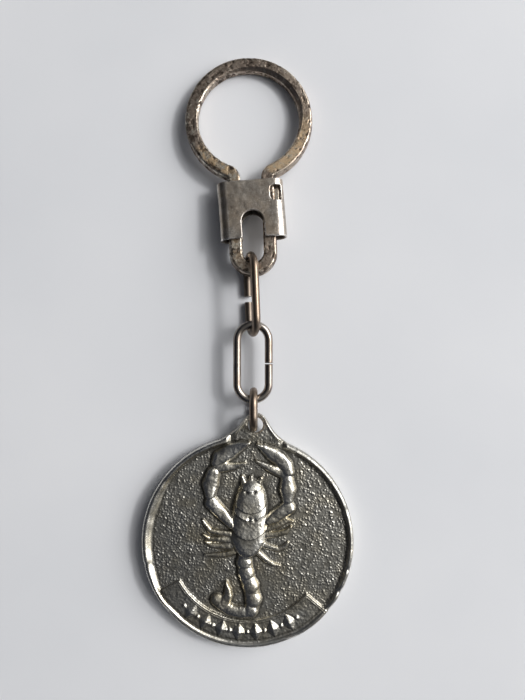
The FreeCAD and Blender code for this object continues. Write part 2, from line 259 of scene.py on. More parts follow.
def rough_noise(x, y, size, seed):
    """Three octaves of noise."""
    coarse = noise(x, y, size, seed)
    return coarse + 0.5 * noise(x, y, size / 2.1, seed + 1) + 0.25 * noise(x, y, size / 4.3, seed + 2)


def cells(x, y, size, seed):
    """Scattered cells: how far inside its cell each point lies, and a value that all of a cell shares."""
    gx, gy = x / size, y / size
    ix, iy = np.floor(gx), np.floor(gy)
    first = np.full(x.shape, 9.0)
    second = np.full(x.shape, 9.0)
    tag = np.zeros(x.shape)
    for dx in (-1, 0, 1):
        for dy in (-1, 0, 1):
            cx, cy = ix + dx, iy + dy
            px = cx + 0.5 + 0.85 * (hashed(cx, cy, seed) - 0.5)
            py = cy + 0.5 + 0.85 * (hashed(cx, cy, seed + 7) - 0.5)
            d = np.hypot(gx - px, gy - py)
            closer = d < first
            second = np.where(closer, first, np.minimum(second, d))
            tag = np.where(closer, hashed(cx, cy, seed + 13), tag)
            first = np.where(closer, d, first)
    return second - first, tag


def travelled(points):
    """Distance along a polyline to each of its points."""
    return np.concatenate([[0], np.cumsum(np.hypot(*np.diff(points, axis=0).T))])


def along(wanted, at, values):
    """Pairs of values at the wanted distances, given the pairs at other distances."""
    return np.stack([np.interp(wanted, at, values[:, 0]), np.interp(wanted, at, values[:, 1])], axis=1)


def resample(points, step):
    """Points spaced evenly along a polyline, its last point left out."""
    points = np.asarray(points, float)
    at = travelled(points)
    count = max(1, int(round(at[-1] / step)))
    return along(np.arange(count) * at[-1] / count, at, points)


def turned(points, angle, middle=0.0):
    """Points turned about the third axis, round the place called middle on the second."""
    c, s = math.cos(angle), math.sin(angle)
    out = points.copy()
    out[:, 0] = c * points[:, 0] - s * (points[:, 1] - middle)
    out[:, 1] = s * points[:, 0] + c * (points[:, 1] - middle) + middle
    return out


def spline(points, per_leg=12):
    """Smooth curve through the points."""
    p = np.asarray(points, float)
    p = np.vstack([2 * p[0] - p[1], p, 2 * p[-1] - p[-2]])
    t = np.linspace(0, 1, per_leg, endpoint=False)[:, None]
    out = []
    for a, b, c, d in zip(p, p[1:], p[2:], p[3:]):
        squared = 2 * a - 5 * b + 4 * c - d
        cubed = 3 * b - a - 3 * c + d
        out.append(0.5 * (2 * b + (c - a) * t + squared * t ** 2 + cubed * t ** 3))
    return np.vstack(out + [p[-2:-1]])


def arc(centre, radius, start, end, count=40):
    """Points of a circular arc between two directions in degrees."""
    a = np.radians(np.linspace(start, end, count))
    return np.stack([centre[0] + radius * np.cos(a), centre[1] + radius * np.sin(a)], axis=1)


class Outline:
    """Closed loops with the inside on the left of each. Sides at x values in open_sides aren't edges."""

    NEAR = 0.6

    def __init__(self, loops, open_sides=()):
        self.loops = loops
        self.points = np.vstack(loops)
        normals = []
        for loop in loops:
            ahead = np.roll(loop, -1, axis=0) - np.roll(loop, 1, axis=0)
            ahead /= np.hypot(*ahead.T)[:, None]
            normals.append(np.stack([-ahead[:, 1], ahead[:, 0]], axis=1))
        self.normals = np.vstack(normals)
        keep = [i for i, p in enumerate(self.points) if not any(abs(p[0] - s) < 1e-6 for s in open_sides)]
        self.tree = KDTree(len(keep))
        for i in keep:
            self.tree.insert((*self.points[i], 0), i)
        self.tree.balance()

    def depth(self, points):
        """Signed distance from the outline, positive inside."""
        out = np.empty(len(points))
        for k, (x, y) in enumerate(points):
            _, i, d = self.tree.find((x, y, 0))
            side = (x - self.points[i, 0]) * self.normals[i, 0] + (y - self.points[i, 1]) * self.normals[i, 1]
            out[k] = side if d < self.NEAR else math.copysign(d, side)
        return out

    def fill(self, pitch, insets, extra=()):
        """Plan points and triangles: rows along the outline, a staggered grid inside, and any extra rows."""
        rows = [self.points]
        for inset in insets:
            row = self.points + self.normals * inset
            rows.append(row[self.depth(row) > 0.9 * inset])
        low, high = self.points.min(0), self.points.max(0)
        ys = np.arange(low[1], high[1], pitch * 0.866)
        xs = np.arange(low[0], high[0], pitch)
        gx = xs[None, :] + (np.arange(len(ys)) % 2)[:, None] * pitch / 2
        grid = np.stack([gx.ravel(), np.repeat(ys, len(xs))], axis=1)
        jitter = np.stack([noise(grid[:, 0], grid[:, 1], pitch * 1.3, seed) for seed in (91, 92)], axis=1)
        grid = grid + jitter * pitch * 0.25
        room = insets[-1] + 0.55 * pitch
        inside = np.minimum(grid - low, high - grid).min(axis=1) > room
        rows.append(grid[inside & (self.depth(grid) > room)])
        plan = np.vstack(rows + list(extra))
        edges, start = [], 0
        for loop in self.loops:
            n = len(loop)
            edges += [(start + i, start + (i + 1) % n) for i in range(n)]
            start += n
        _, _, faces, origin, _, _ = delaunay_2d_cdt([Vector(p) for p in plan], edges, [], 0, 1e-6)
        source = np.array([o[0] for o in origin])
        tris = source[np.array(faces)]
        on_edge = (tris < start).all(axis=1)
        middle = plan[tris[on_edge]].mean(axis=1)
        keep = np.ones(len(tris), bool)
        keep[np.flatnonzero(on_edge)[self.depth(middle) < 0]] = False
        return plan, tris[keep]


def rounding(depth, radius):
    """How far a rounded edge drops below the surface at each depth inside the outline."""
    d = np.clip(depth, 0, radius)
    return radius - np.sqrt(radius ** 2 - (radius - d) ** 2)


def add_object(name, data):
    obj = bpy.data.objects.new(name, data)
    bpy.context.scene.collection.objects.link(obj)
    return obj


def make_piece(name, points, faces, body, cad_node, slot, look, **layers):
    """Mesh object from points in millimetres, riding on its body and standing for its CAD node."""
    points = np.asarray(points, float)
    faces = np.asarray(faces)
    first = faces[:, 0]
    volume = 0.0
    for k in range(1, faces.shape[1] - 1):
        volume += np.einsum("ij,ij->", points[first], np.cross(points[faces[:, k]], points[faces[:, k + 1]]))
    if volume < 0:
        faces = faces[:, ::-1]
    used = np.unique(faces)
    renumber = np.zeros(len(points), int)
    renumber[used] = np.arange(len(used))
    mesh = bpy.data.meshes.new(name)
    mesh.from_pydata((points[used] * MM).tolist(), [], [dedupe(f) for f in renumber[faces].tolist()])
    mesh.polygons.foreach_set("use_smooth", [True] * len(mesh.polygons))
    for layer, values in layers.items():
        attribute = mesh.attributes.new(layer, "FLOAT", "POINT")
        attribute.data.foreach_set("value", np.asarray(values, np.float32)[used])
    mesh.materials.append(worn_metal(look))
    mesh.update()
    obj = add_object(name, mesh)
    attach(obj, body)
    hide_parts(cad_node)


def dedupe(face):
    """A quad with a repeated corner becomes a triangle."""
    return [v for i, v in enumerate(face) if v != face[i - 1]]


# === materials ======================================================================================
def feed(tree, socket, value):
    """Joins an input to another node's output, or gives it a fixed value."""
    if isinstance(value, bpy.types.NodeSocket):
        tree.links.new(value, socket)
    else:
        socket.default_value = value


def node(tree, kind, inputs=None, **settings):
    made = tree.nodes.new("ShaderNode" + kind)
    for key, value in settings.items():
        setattr(made, key, value)
    for key, value in (inputs or {}).items():
        feed(tree, made.inputs[key], value)
    return made


def blend_colour(tree, factor, a, b):
    made = tree.nodes.new("ShaderNodeMix")
    made.data_type = "RGBA"
    for key, value in ((0, factor), (6, a), (7, b)):
        feed(tree, made.inputs[key], (*value, 1) if isinstance(value, tuple) else value)
    return made.outputs[2]


def spread(tree, value, low, high, to_low=0.0, to_high=1.0):
    """Stretches a value between two limits."""
    return node(tree, "MapRange", {0: value, 1: low, 2: high, 3: to_low, 4: to_high}).outputs[0]


def maths(tree, operation, a, b):
    return node(tree, "Math", {0: a, 1: b}, operation=operation).outputs[0]


def noise_node(tree, place, scale, detail, roughness=0.5):
    inputs = {"Vector": place, "Scale": scale, "Detail": detail, "Roughness": roughness}
    return node(tree, "TexNoise", inputs).outputs[0]


def new_material(name):
    material = bpy.data.materials.new(name)
    material.use_nodes = True
    return material, material.node_tree, material.node_tree.nodes["Principled BSDF"]


def worn_metal(name):
    """Aged metal: the layer of wear and painted highlights brings out the bright colour, tint the tint, and
    the layer of grime and painted shade darkens hollows and shaded parts.
    """
    if name in bpy.data.materials:
        return bpy.data.materials[name]
    dark, base, bright, tint, rough, grain, bump, speck, mottle = LOOKS[name]
    material, tree, shader = new_material(name)
    coordinates = node(tree, "TexCoord").outputs["Object"]
    place = node(tree, "Mapping", {0: coordinates, 3: (1 / MM, 1 / MM, 1 / MM)}).outputs[0]
    broad = noise_node(tree, place, 0.45 * grain, 5.0, 0.65)
    fine = noise_node(tree, place, 3.2 * grain, 6.0, 0.7)
    pits = node(tree, "TexVoronoi", {"Vector": place, "Scale": 2.6 * grain, "Randomness": 1.0}).outputs[0]
    wear, hue, grime = (node(tree, "Attribute", attribute_name=layer).outputs["Fac"]
                        for layer in ("wear", "tint", "grime"))
    body = blend_colour(tree, spread(tree, broad, 0.35, 0.65), dark, base)
    stain = maths(tree, "MULTIPLY", hue, spread(tree, fine, 0.3, 0.5, 0.45, 1.0))
    tinted = blend_colour(tree, stain, body, tint)
    speckle = maths(tree, "MULTIPLY", spread(tree, fine, 0.5, 0.75, -0.25, 1.0), speck)
    scuffed = maths(tree, "ADD", wear, speckle)
    shine = maths(tree, "MULTIPLY", scuffed, spread(tree, broad, 0.25, 0.6, 0.5, 1.0))
    shine = node(tree, "Clamp", {0: shine}).outputs[0]
    colour = blend_colour(tree, shine, tinted, bright)
    colour = blend_colour(tree, grime, colour, tuple(0.22 * c for c in dark))
    tree.links.new(colour, shader.inputs["Base Color"])
    shader.inputs["Metallic"].default_value = 1.0
    even = spread(tree, shine, 0.0, 1.0, *rough)
    uneven = spread(tree, fine, 0.3, 0.7, -0.08 * mottle, 0.1 * mottle)
    roughness = maths(tree, "ADD", even, uneven)
    roughness = maths(tree, "ADD", roughness, maths(tree, "MULTIPLY", grime, 0.25))
    tree.links.new(roughness, shader.inputs["Roughness"])
    relief = maths(tree, "ADD", fine, maths(tree, "MULTIPLY", spread(tree, pits, 0.0, 0.35), 0.5))
    bumped = node(tree, "Bump", {"Height": relief, "Strength": 0.8, "Distance": bump * MM})
    tree.links.new(bumped.outputs[0], shader.inputs["Normal"])
    return material


# === medal ==========================================================================================
def ridge_share(x, y, points, widths):
    """Distance from a tapering stroke, as a share of its half width."""
    best = np.full(x.shape, 9.0)
    for (ax, ay), (bx, by), wa, wb in zip(points, points[1:], widths, widths[1:]):
        dx, dy = bx - ax, by - ay
        t = np.clip(((x - ax) * dx + (y - ay) * dy) / (dx * dx + dy * dy), 0, 1)
        share = np.hypot(x - ax - t * dx, y - ay - t * dy) / (mix(wa, wb, t) / 2)
        best = np.minimum(best, share)
    return best


def body_share(x, y):
    """Distance from the middle of the scorpion's egg-shaped body, as a share of its half size."""
    half_w = 3.4 - 0.07 * np.clip(y - 4, 0, 9) - 0.42 * np.clip(0.3 - y, 0, 4)
    return np.sqrt((x / half_w) ** 2 + (np.abs(y - 4.5) / 7.5) ** np.where(y > 4.5, 3.4, 8.0))


def plates(x, y):
    """Overlapping back plates: each rises towards its lower edge and then steps down."""
    s = y - PLATE_CURVE * x * x
    step = np.zeros(x.shape)
    for upper, lower in zip([HEAD_Y] + PLATE_EDGES, PLATE_EDGES):
        inside = (s <= upper) & (s > lower)
        step = np.where(inside, np.clip((upper - s) / (upper - lower), 0, 1) ** 1.4, step)
    return step


def scorpion(x, y):
    """Relief height above the field, and the dark moat that outlines it."""
    relief = np.zeros(x.shape)
    moat = np.zeros(x.shape)

    def raise_to(share, rise, power=0.5):
        nonlocal relief, moat
        relief = np.maximum(relief, rise * np.clip(1 - share ** 2.8, 0, 1) ** power)
        moat = np.maximum(moat, bell(share - 1.12, 0.16))

    for points, widths, rise in RIDGES:
        share = ridge_share(x, y, points, widths)
        raise_to(share, rise * (1 + 0.25 * noise(x, y, 1.7, 31)))
    for (cx, cy), radius, rise in BEADS:
        raise_to(np.hypot(x - cx, y - cy) / radius, rise)
    share = body_share(x, y)
    raise_to(share ** 1.2, BODY_RISE, 0.6)
    on_body = smooth((1 - share) / 0.12)
    relief = relief + on_body * PLATE_STEP * (plates(x, y) - 0.5)
    for px, py in BODY_PITS:
        relief = relief - 0.25 * np.exp(-((x - px) ** 2 + (y - py) ** 2) / 0.09)
    return relief, moat * (relief < 0.05)


def band(x, y):
    """Ornament band: whether a point is on it, and the height of its border and lozenges above it."""
    r = np.hypot(x, y)
    turn = np.degrees(np.arctan2(y, x)) % 360
    to_end = np.minimum(turn - BAND_START, BAND_END - turn) * np.pi / 180 * r
    inward = np.minimum(r - BAND_IN_R, to_end)
    on = smooth(inward / 0.22)
    lines = 0.14 * bell(inward - 0.22, 0.12) + 0.1 * bell(inward - 0.62, 0.1)
    mid = (BAND_START + BAND_END) / 2
    for i in range(PIP_COUNT):
        a = np.radians(turn - (mid + (i - (PIP_COUNT - 1) / 2) * PIP_STEP))
        size = np.abs(r * np.sin(a)) / 1.3 + np.abs(r * np.cos(a) - PIP_R) / 1.75
        stud = 0.2 * smooth((1.0 - size) / 0.12) + 0.34 * np.clip((0.74 - size) / 0.62, 0, 1) ** 0.8
        lines = np.maximum(lines, stud)
    for i in range(PIP_COUNT + 1):
        a = np.radians(turn - (mid + (i - PIP_COUNT / 2) * PIP_STEP))
        bead = np.hypot(r * np.sin(a), r * np.cos(a) - PIP_R) / 0.42
        lines = np.maximum(lines, 0.32 * np.sqrt(np.clip(1 - bead ** 2, 0, 1)))
    return on, lines * (on > 0.3)


def medal_top(x, y, depth):
    """Height of the medal's face, and its layers of wear and painted highlight, tint, and grime and painted
    shade.
    """
    r = np.hypot(x, y)
    turn = np.degrees(np.arctan2(y, x)) % 360
    casting = rough_noise(x, y, 0.4, 5)
    gap, tag = cells(x + 0.3 * casting, y - 0.3 * casting, 0.52, 3)
    pebble = smooth(gap / 0.42) * (0.55 + 0.45 * tag)
    swell = rough_noise(x, y, 3.4, 9)
    relief, moat = scorpion(x, y)
    on_band, lines = band(x, y)
    flat = FIELD_Z + 0.05 * swell
    lug_side = np.abs(x - 0.02 * y) - LUG_HALF
    lug = smooth((y - 17.0) / 3.4) * smooth((0.9 - lug_side) / 1.8)
    flat = mix(flat, LUG_Z, lug)
    flat = mix(flat, BAND_Z, on_band)
    # rim: a rounded crest that stops at the lug, and sinks to a rough shoulder along the bottom
    low_side = between(turn, 216, 14, 306, 14)
    crest_r = CREST_R - 0.32 * low_side
    uneven = noise(turn * 0.35, r * 0, 1.6, 17)
    dented = sum(d * bell((turn - a + 180) % 360 - 180, w) for a, w, d in RIM_DENTS)
    far_side = between(turn, 138, 25, 216, 16)
    inner = bell(np.clip(crest_r - r, 0, 9), 0.34 + 0.12 * uneven + 0.45 * far_side)
    outer = 1 - 0.65 * low_side * smooth((r - crest_r - 0.1) / 0.4)
    rim_on = np.where(y > 0, smooth(lug_side / 1.1), 1.0)
    crest = inner * outer * rim_on * (CREST_Z + 0.1 * uneven - dented - FIELD_Z)
    off_hole = np.hypot(x - HOLE[0], y - HOLE[1]) > HOLE_R + 0.65
    border = lug * bell(depth - 0.32, 0.24) * off_hole
    texture = (0.115 * (pebble - 0.35) + 0.135 * casting) * (1 - 0.45 * lug)
    covered = np.clip(relief / 0.35, 0, 1)
    smoothed = [covered * 0.9, inner * rim_on * 0.85, on_band * 0.72, border * 0.8]
    calm = np.clip(np.maximum.reduce(smoothed), 0, 1)
    z = flat + texture * (1 - calm) - 0.2 * moat
    z = z + RELIEF_SCALE * relief + 0.02 * casting * covered
    z = np.maximum(z, FIELD_Z + crest) + lines + 0.34 * border
    z = z + 0.03 * casting * calm
    z = z - rounding(depth, np.where(lug > 0.5, LUG_EDGE_R, DISC_EDGE_R))
    raised_and_lit = smooth((relief - 0.25) / 0.8) * 0.55 + 0.5 * inner * rim_on + 0.55 * border
    raised_and_lit = raised_and_lit + 0.9 * lines + (1 - calm) * pebble * 0.2
    # Painted highlights: the rim's inner slope on the left side, which faces the light, and the right flank
    # of the scorpion's body are brightened.
    inner_slope = bell(crest_r - 0.3 - 0.3 * far_side - r, 0.2 + 0.25 * far_side) * rim_on * smooth(-x / 9)
    raised_and_lit = raised_and_lit + 0.3 * inner_slope + 0.25 * smooth((x - 0.8) / 1.6) * (body_share(x, y) < 0.98)
    wear = raised_and_lit + 0.35 * swell + 0.15 * casting - 0.05 - 0.5 * moat
    # The painted highlight on the rim's inner slope on the left is tinted gold.
    tint = 0.3 * covered + 0.9 * noise(x, y, 2.2, 41) + 0.2 * smooth((14 - r) / 6) + inner_slope
    rim_foot = bell(crest_r - 0.72 - 0.75 * far_side - r, 0.22) * rim_on
    seams = bell(plates(x, y), 0.16) * (body_share(x, y) < 0.96) * 0.6
    stud_foot = bell(lines - 0.06, 0.05) * on_band * 0.5
    grime = 0.85 * moat + 0.6 * (1 - pebble) * (1 - calm) + 0.7 * rim_foot + seams + stud_foot
    grime = grime + 0.5 * np.clip(-casting - 0.25, 0, 1) + 0.25 * on_band * np.clip(0.3 - lines, 0, 1)
    # Painted shade: the crest and outer part of the rim at the upper right are darkened to dim their
    # highlight.
    painted_rim_shade = between(turn, 14, 10, 78, 12) * smooth((r - crest_r + 0.3) / 0.3)
    grime = grime + 0.6 * painted_rim_shade * (0.7 + casting)
    # Painted shade: the end bulb of the tail, at the lower left, is darkened.
    grime = grime + 0.55 * smooth((1.9 - np.hypot(x + 4.7, y + 11.3)) / 1.2) * (x < -3.7)
    return z, np.clip(wear, 0, 1), np.clip(tint, 0, 1), np.clip(grime, 0, 1)


def medal():
    hole_angle = math.atan2(HOLE[1], HOLE[0])
    pivot = JOINTS["medal_swing"]["pos_m"]
    turn = math.atan2(pivot[1], pivot[0]) - hole_angle
    lug_line = spline(LUG_OUTLINE)
    right, left = lug_line[0], lug_line[-1]
    round_part = arc((0, 0), DISC_R, math.degrees(math.atan2(left[1], left[0])),
                     360 + math.degrees(math.atan2(right[1], right[0])), 900)
    loop = resample(np.vstack([lug_line, round_part[1:]]), MEDAL_PITCH)
    ripple = 0.05 * rough_noise(loop[:, 0], loop[:, 1], 1.3, 21)
    loop = loop * (1 - np.abs(ripple) / DISC_R)[:, None]
    hole = resample(arc(HOLE, HOLE_R, 360, 0, 120), 0.12)
    shape = Outline([loop, hole])
    top_plan, top_tris = shape.fill(MEDAL_PITCH, (0.05, 0.12, 0.21, 0.32))
    step_rows = []
    for r in (19.78, 19.95, 20.12):
        row = resample(arc((0, 0), r, 73, 107.5, 90), 0.14)
        step_rows.append(row[shape.depth(row) > 0.1])
    back_plan, back_tris = shape.fill(BACK_PITCH, (0.1, 0.24, 0.4), step_rows)
    z, wear, tint, grime = medal_top(top_plan[:, 0], top_plan[:, 1], shape.depth(top_plan))
    bx, by = back_plan.T
    back_depth = shape.depth(back_plan)
    lug_step = smooth((np.hypot(bx, by) - 19.8) / 0.28)
    back = np.clip(BACK_EDGE - back_depth, 0, 1) + BACK_LIFT + 0.05 * rough_noise(bx, by, 1.1, 61)
    back_z = np.maximum(mix(back, LUG_BACK_Z + 0.3 * (back - BACK_LIFT), lug_step), 0)
    edge = len(shape.points)
    rows = 7
    wall = []
    for k in range(1, rows):
        share = k / rows
        row_z = mix(z[:edge], back_z[:edge], share)
        rough = rough_noise(shape.points[:, 0] + 9 * share, shape.points[:, 1], 0.7, 71)
        push = 0.05 * np.sin(share * np.pi) * (rough - 0.4)
        wall.append(np.column_stack([shape.points - shape.normals * push[:, None], row_z]))
    points = np.vstack([np.column_stack([top_plan, z])] + wall + [np.column_stack([back_plan, back_z])])
    starts = [0] + [len(top_plan) + k * edge for k in range(rows)]
    faces = [np.column_stack([top_tris, top_tris[:, 2]]),
             np.column_stack([back_tris[:, ::-1], back_tris[:, 0]]) + starts[-1]]
    loop_start = 0
    for part in shape.loops:
        n = len(part)
        a = loop_start + np.arange(n)
        b = loop_start + (np.arange(n) + 1) % n
        for upper, lower in zip(starts, starts[1:]):
            faces.append(np.column_stack([upper + b, upper + a, lower + a, lower + b]))
        loop_start += n
    other = len(points) - len(top_plan)
    wear = np.concatenate([wear, np.full(other, 0.22)])
    tint = np.concatenate([tint, np.full(other, 0.1)])
    grime = np.concatenate([grime, np.full(other, 0.25)])
    make_piece("medal_casting", turned(points, turn), np.vstack(faces), "medal", "medallion", "medal_alloy",
               "medal_pewter", wear=wear, tint=tint, grime=grime)


# === swept wire =====================================================================================
def sweep(plan, left, sections):
    """Closed skin along a flat line: a section of (left, up) pairs at each of its points, and capped ends."""
    centres = np.column_stack([plan, np.zeros(len(plan))])
    outs = np.column_stack([left, np.zeros(len(left))])
    up = np.array([0.0, 0.0, 1.0])
    rings = centres[:, None, :] + sections[..., :1] * outs[:, None, :] + sections[..., 1:] * up
    n, k = rings.shape[:2]
    i, j = np.meshgrid(np.arange(n - 1), np.arange(k), indexing="ij")
    a = i * k + j
    b = i * k + (j + 1) % k
    faces = np.stack([a, b, b + k, a + k], axis=-1).reshape(-1, 4)
    start, end = n * k, n * k + 1
    around = np.arange(k)
    after = (around + 1) % k
    last = (n - 1) * k
    near = np.column_stack([after, around, np.full(k, start), np.full(k, start)])
    far = np.column_stack([last + around, last + after, np.full(k, end), np.full(k, end)])
    points = np.vstack([rings.reshape(-1, 3), rings[0].mean(0), rings[-1].mean(0)])
    return points, np.vstack([faces, near, far])


def stations(pieces, step):
    """Points along lines and arcs, with the left-hand side of travel and the distance travelled."""
    points, lefts = [], []
    for piece in pieces:
        if len(piece) == 2:
            (ax, ay), (bx, by) = piece
            length = math.hypot(bx - ax, by - ay)
            n = max(2, int(length / step))
            t = np.linspace(0, 1, n, endpoint=False)
            points.append(np.stack([ax + (bx - ax) * t, ay + (by - ay) * t], axis=1))
            lefts.append(np.tile([-(by - ay) / length, (bx - ax) / length], (n, 1)))
        else:
            (cx, cy), radius, start, end = piece
            n = max(2, int(abs(math.radians(end - start)) * radius / step))
            a = np.radians(np.linspace(start, end, n, endpoint=False))
            points.append(np.stack([cx + radius * np.cos(a), cy + radius * np.sin(a)], axis=1))
            sign = 1 if end < start else -1
            lefts.append(sign * np.stack([np.cos(a), np.sin(a)], axis=1))
    return np.vstack(points), np.vstack(lefts)


def end_shrink(distance, total, radius):
    """Scale of the section near the wire's ends, which are rounded over."""
    near = np.minimum(distance, total - distance)
    return 1 - rounding(near, radius) * 0.9


def link(name):
    cad_node, body, length, width, lean, yaw = LINKS[name]
    gap, gap_at, side = LINK_GAPS[name]
    r = width / 2 - LINK_WIRE_R
    half = (length - width) / 2
    above, below = gap_at + gap / 2, gap_at - gap / 2
    if side > 0:
        parts = [((r, below), (r, -half)), ((0, -half), r, 0, -180), ((-r, -half), (-r, half)),
                 ((0, half), r, 180, 0), ((r, half), (r, above))]
    else:
        parts = [((-r, above), (-r, half)), ((0, half), r, 180, 0), ((r, half), (r, -half)),
                 ((0, -half), r, 0, -180), ((-r, -half), (-r, below))]
    plan, left = stations(parts, LINK_STEP)
    s = travelled(plan)
    near = np.minimum(s, s[-1] - s)
    crowd = np.array([0.02, 0.05, 0.1])
    keep = near > 0.14
    keep[[0, -1]] = True
    at = np.sort(np.concatenate([s[keep], crowd, s[-1] - crowd]))
    plan, left = along(at, s, plan), along(at, s, left)
    left /= np.hypot(*left.T)[:, None]
    s = at
    a = np.linspace(0, 2 * np.pi, LINK_SIDES, endpoint=False)
    open_gap = gap > 0.5
    scale = end_shrink(s, s[-1], 0.12 if open_gap else 0.05)
    ss, aa = np.meshgrid(s, a, indexing="ij")
    dent = 0.012 * noise(ss, aa * LINK_WIRE_R, 1.9, 11 + len(name)) - 0.008
    die_marks = 0.004 * noise(ss * 0.1, aa * 6, 1.0, 13)
    radius = (LINK_WIRE_R + dent + die_marks) * scale[:, None]
    sections = np.stack([radius * np.cos(aa), radius * np.sin(aa)], axis=-1)
    points, faces = sweep(plan, left, sections)
    place = Matrix.Rotation(math.radians(yaw), 3, "Z")
    if lean is not None:
        place = place @ Matrix.Rotation(math.radians(-(90 - lean)), 3, "Y")
    low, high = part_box(cad_node)
    middle = np.array((low + high) / 2) / MM
    placed = points @ np.array(place).T + middle
    bend_wear = smooth((np.abs(plan[:, 1]) - half) / r)[:, None] * 0.25
    wear = 0.12 + bend_wear + 0.3 * rough_noise(ss * 0.4, aa, 0.9, 15)
    ends = smooth((0.25 - np.minimum(ss, s[-1] - ss)) / 0.2)
    wear = np.clip(wear + (0.6 if open_gap else -0.3) * ends, 0, 1).ravel()
    tint = np.clip((0.45 if lean is None else 0.95) + 0.9 * noise(ss, aa, 2.0, 19), 0, 1).ravel()
    # The open link's wire turns darker and loses its tint where it sits low, near the table.
    low_wire = smooth((2.4 - placed[:-2, 2]) / 1.2) if open_gap else 0 * tint
    tint = tint * (1 - low_wire)
    grime = np.clip(0.4 * low_wire + (0 if open_gap else 0.5) * ends.ravel(), 0, 1)
    look = "link_wire_worn" if lean is None else "link_wire_bronze"
    make_piece(name, placed, faces, body, cad_node, "link_steel", look,
               wear=np.append(wear, [0.6, 0.6]), tint=np.append(tint, [0, 0]), grime=np.append(grime, [0, 0]))


# === key ring =======================================================================================
def ring_axes():
    """The ring's own frame: origin at the loop's centre, u across, v along the legs, n up."""
    v = np.array(JOINTS["sleeve_slide"]["axis"], float)
    v /= np.linalg.norm(v)
    n = np.array(MOUNTS["key_eye"]["axis"], float)
    n -= v * (v @ n)
    n /= np.linalg.norm(n)
    eye = np.array(MOUNTS["key_eye"]["pos_m"], float) / MM
    return eye - RING_V * v, np.cross(v, n), v, n


def in_ring_frame(points):
    """Points given as (u, v, n) become points of the whole keychain."""
    origin, u, v, n = ring_axes()
    return origin + points[:, :1] * u + points[:, 1:2] * v + points[:, 2:] * n


def ring_plan():
    """Lines and arcs of the wire's middle, from its lower end inside the sleeve round to its free end."""
    shoulder_u = LEG_U + SHOULDER_R
    drop = math.sqrt((RING_R + SHOULDER_R) ** 2 - shoulder_u ** 2)
    shoulder_v = RING_V - drop
    meet = math.degrees(math.atan2(-drop, shoulder_u))
    back = meet + 180
    return [
        ((LEG_U, SPLIT_V - SPLIT_GAP), (LEG_U, 0)),
        ((0, 0), LEG_U, 0, -180),
        ((-LEG_U, 0), (-LEG_U, shoulder_v)),
        ((-shoulder_u, shoulder_v), SHOULDER_R, 0, 180 - back),
        ((0, RING_V), RING_R, 180 - meet, meet),
        ((shoulder_u, shoulder_v), SHOULDER_R, back, 180),
        ((LEG_U, shoulder_v), (LEG_U, SPLIT_V)),
    ]


def ring_sections(plan):
    """Flat-wire sections, with an inner bevel that widens towards the upper right of the ring."""
    clock = np.degrees(np.arctan2(plan[:, 0], plan[:, 1] - RING_V)) % 360
    on_ring = smooth((plan[:, 1] - 14.6) / 1.2)
    bevel = between((clock + 180) % 360 - 180, -42, 70, 118, 50)
    wide = 0.26 + 0.5 * bevel * on_ring
    tall = 0.28 + 0.5 * bevel * on_ring
    w, t = HALF_W, HALF_T
    corner = 0.42
    ones = np.ones(len(plan))

    def run(start, end, count):
        k = np.arange(count) / count
        pairs = [np.outer(a * ones, 1 - k) + np.outer(b * ones, k) for a, b in zip(start, end)]
        return np.stack(pairs, axis=-1)

    def turn(out, up, start, end):
        a = np.radians(np.linspace(start, end, CORNER_POINTS, endpoint=False))
        pairs = np.stack([out + corner * np.cos(a), up + corner * np.sin(a)], axis=-1)
        return np.tile(pairs, (len(plan), 1, 1))

    parts = [
        run((wide - w, t), (w - corner, t), FACE_POINTS),
        turn(w - corner, t - corner, 90, 0),
        run((w, t - corner), (w + WALL_LEAN, corner - t), 9),
        turn(w + WALL_LEAN - corner, corner - t, 0, -90),
        run((w + WALL_LEAN - corner, -t), (corner - w, -t), 10),
        turn(corner - w, corner - t, 270, 180),
        run((-w, corner - t), (-w, t - tall), 8),
        run((-w, t - tall), (wide - w, t), BEVEL_POINTS),
    ]
    return np.concatenate(parts, axis=1), bevel * on_ring, clock, on_ring


